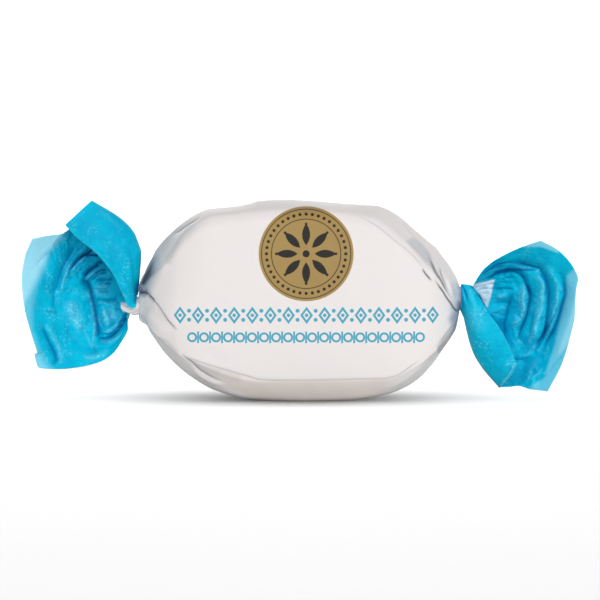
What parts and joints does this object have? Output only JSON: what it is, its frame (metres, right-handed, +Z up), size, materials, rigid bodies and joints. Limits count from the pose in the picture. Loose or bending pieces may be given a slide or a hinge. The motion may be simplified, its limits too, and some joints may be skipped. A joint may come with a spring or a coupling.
{
  "type": "polvoron in twisted wrapper",
  "caption": "Oval shortbread sweet in white waxed paper, twisted shut at both ends into crumpled blue paper fans, standing on its long edge.",
  "frame": {"origin": "middle of the flat spot under the long edge, which the wrapped sweet rests on", "axes": "+X along the wrapper to the right-hand twist as seen from the printed front, +Z up, -Y out of the printed front"},
  "size_m": [0.1197, 0.02, 0.043],
  "materials": {
    "white_waxed_paper": "satin",
    "blue_waxed_paper": "satin"
  },
  "bodies": {
    "root": {"wrapped_middle": "white_waxed_paper", "left_fan": "blue_waxed_paper", "right_fan": "blue_waxed_paper"}
  },
  "joints": []
}
